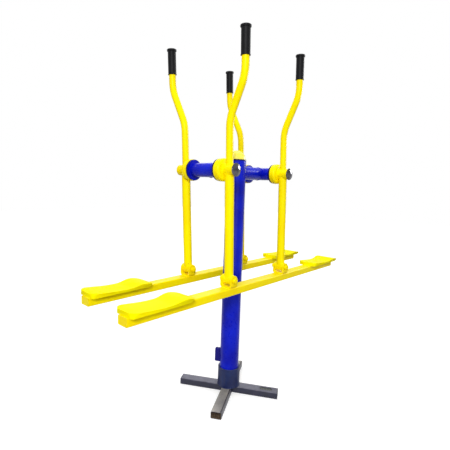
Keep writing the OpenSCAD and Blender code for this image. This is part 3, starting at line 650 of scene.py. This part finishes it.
def bracketWelds(sy):
    # Each bracket is welded to its rail at both open ends and along its two bends
    mesh = bmesh.new()
    long, wide, corner = (bracketFoot[key] for key in ("halfLong", "halfWide", "corner"))
    railTop = rig["hubHeight"] - rig["armLength"] - rig["pivotRise"]
    for sx in (-1, 1):
        middle = railShift(sy) + Vector((sx * rig["station"], sy * rig["armPlane"], railTop))
        for end in (-1, 1):
            for first, last in (((end * long, -wide, 0), (end * long, wide, 0)),
                                ((-long, end * corner, 0), (long, end * corner, 0))):
                weldLine(mesh, middle + Vector(first), middle + Vector(last), bracketFoot["bead"])
    finishPiece(f"{sides[sy]}_bracket_welds", mesh, f"{sides[sy]}_foot_rail", "yellow_paint")


lugFoot = {
    "halfThick": 0.007,
    "low": 0.180, "high": 0.255,        # the beads' ends, up the post
    "bead": 0.0028,
}


def lugWelds():
    # A bead up the post on each side of the lug
    mesh = bmesh.new()
    off = math.degrees(math.asin(lugFoot["halfThick"] / rig["post"]))
    for side in (-1, 1):
        angle = math.radians(rig["legTurn"] + 90 + side * off)
        x, y = rig["post"] * math.cos(angle), rig["post"] * math.sin(angle)
        weldLine(mesh, (x, y, lugFoot["low"]), (x, y, lugFoot["high"]), lugFoot["bead"])
    finishPiece("lug_welds", mesh, "stand", "blue_paint")


for sx in (-1, 1):
    for sy in (-1, 1):
        armWelds(sx, sy)
for sy in (-1, 1):
    bracketWelds(sy)
lugWelds()
headWelds()
socketWelds()
print("stage: welds")


# Pedals
pedalEdge = {                                # radius of the soft edge; a rim edge joins a face that
    "radius": 0.0045, "segments": 4,         # points up at least as far as top to one at most side
    "top": 0.6, "side": 0.3, "flat": 0.5,    # faces within flat degrees are joined first
}


def softPedal(sx, sy):
    # The moulded pedal with its tread's edge rounded over, from a merged copy of its solid
    node = f"{sides[sy]}_{ends[sx]}_pedal"
    mesh = bmesh.new()
    mesh.from_mesh(frame["nodes"][node].data)
    bmesh.ops.remove_doubles(mesh, verts=mesh.verts, dist=meshLimits["cadMerge"])
    bmesh.ops.dissolve_limit(mesh, angle_limit=math.radians(pedalEdge["flat"]),
                             verts=mesh.verts, edges=mesh.edges)
    mesh.normal_update()
    rim = []
    for edge in mesh.edges:
        tilts = sorted(face.normal.z for face in edge.link_faces)
        if len(tilts) == 2 and tilts[0] < pedalEdge["side"] and tilts[1] > pedalEdge["top"]:
            rim.append(edge)
    bmesh.ops.bevel(mesh, geom=rim, affect="EDGES", offset=pedalEdge["radius"],
                    segments=pedalEdge["segments"], profile=0.5, material=-1, clamp_overlap=True)
    piece = finishPiece(node + "_tread", mesh, f"{sides[sy]}_foot_rail", "pedal_plastic")
    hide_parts(node)
    return len(rim)


rimEdges = [softPedal(sx, sy) for sx in (-1, 1) for sy in (-1, 1)]
print("stage: pedals, rim edges", rimEdges)


# Floor, light and camera
studio = {
    "floorHalf": 14.0, "floorRough": 0.9,
    "floorBounce": 0.28, "floorShade": 0.80,             # for the light, and as the camera sees it
    "glow": (0.40, 0.80), "glowReach": (1.0, 5.0),       # near and far, between these distances
    "ambient": 0.46,
    "lamps": {                      # place, aim, size and power
        "keyLamp": ((-3.2, -2.4, 2.8), (0, 0, 0.9), 0.9, 118.0),
        "lowLamp": ((-1.8, -3.6, 0.5), (0, 0, 0.7), 1.6, 26.0),
        "topLamp": ((0.0, 0.0, 4.6), (0, 0, 0.9), 2.4, 70.0),
        "backLamp": ((2.8, 3.2, 3.6), (0, 0, 1.1), 2.6, 40.0),
        "sparkLamp": ((2.8, -0.9, 2.1), (0, 0, 1.3), 0.8, 90.0),
    },
    "sparkOnly": ("sparkLamp",),    # seen in shiny surfaces, but throwing no light of its own
}
view = {
    "place": (-1.61486, -1.38276, 1.25421), "yaw": 47.976, "pitch": 6.176, "roll": 1.910,
    "focal": 361.47, "picture": 450.0, "sensor": 36.0,
}


def seenDirectly(paint):
    # 1 for what the camera sees, also in a mirror or through glass, 0 for what only lights
    path = paint.tree.nodes.new("ShaderNodeLightPath")
    camera, glossy, through = (Wire(paint, path.outputs[f"Is {kind} Ray"])
                               for kind in ("Camera", "Glossy", "Transmission"))
    total = camera + glossy + through
    return paint.node("ShaderNodeMath", {"operation": "MINIMUM"}, {0: total, 1: 1.0})


def makeFloor():
    mesh = bmesh.new()
    bmesh.ops.create_grid(mesh, x_segments=1, y_segments=1, size=studio["floorHalf"])
    data = bpy.data.meshes.new("floor")
    mesh.to_mesh(data)
    mesh.free()
    floor = bpy.data.objects.new("floor", data)
    bpy.context.scene.collection.objects.link(floor)
    paint = Paint("floorPaint")
    seen = seenDirectly(paint)
    x, y, _ = paint.parts(paint.place())
    far = paint.between((x * x + y * y) ** 0.5, *studio["glowReach"])
    glow = paint.mix(far, *((shade,) * 3 for shade in studio["glow"]))
    bounce, shade = ((studio[key],) * 3 for key in ("floorBounce", "floorShade"))
    paint.set(Base_Color=paint.mix(seen, bounce, shade),
              Roughness=studio["floorRough"], Specular_IOR_Level=0.0)
    paint.set(Emission_Color=paint.mix(seen, (0.0, 0.0, 0.0), glow), Emission_Strength=1.0)
    data.materials.append(paint.material)


class WorldPaint(Paint):
    def __init__(self, world):
        world.use_nodes = True
        self.begin(world.node_tree, "ShaderNodeOutputWorld", "ShaderNodeBackground")


def makeWorld():
    world = bpy.data.worlds.new("studioWorld")
    bpy.context.scene.world = world
    paint = WorldPaint(world)
    seen = seenDirectly(paint)
    paint.set(Color=(1.0, 1.0, 1.0), Strength=studio["ambient"] + seen * (1.0 - studio["ambient"]))


def makeLamps():
    for name, (place, aim, size, power) in studio["lamps"].items():
        lamp = bpy.data.lights.new(name, "AREA")
        lamp.shape = "SQUARE"
        lamp.size = size
        lamp.energy = power
        lampObject = bpy.data.objects.new(name, lamp)
        lampObject.location = place
        towards = Vector(aim) - Vector(place)
        lampObject.rotation_euler = towards.to_track_quat("-Z", "Y").to_euler()
        lampObject.visible_diffuse = name not in studio["sparkOnly"]
        bpy.context.scene.collection.objects.link(lampObject)


def makeCamera():
    yaw, pitch, roll = (math.radians(view[key]) for key in ("yaw", "pitch", "roll"))
    level = math.cos(pitch)
    ahead = Vector((math.sin(yaw) * level, math.cos(yaw) * level, -math.sin(pitch)))
    right = Vector((math.cos(yaw), -math.sin(yaw), 0))
    up = right.cross(ahead)
    tilted = right * math.cos(roll) + up * math.sin(roll)
    upright = up * math.cos(roll) - right * math.sin(roll)
    camera = bpy.data.cameras.new("camera")
    camera.sensor_width = view["sensor"]
    camera.lens = view["focal"] * view["sensor"] / view["picture"]
    cameraObject = bpy.data.objects.new("camera", camera)
    turn = Matrix((tilted, upright, -ahead)).transposed().to_4x4()
    cameraObject.matrix_world = Matrix.Translation(view["place"]) @ turn
    bpy.context.scene.collection.objects.link(cameraObject)
    bpy.context.scene.camera = cameraObject


makeFloor()
makeWorld()
makeLamps()
makeCamera()
bpy.context.scene.view_settings.view_transform = "Standard"
print("stage: studio")
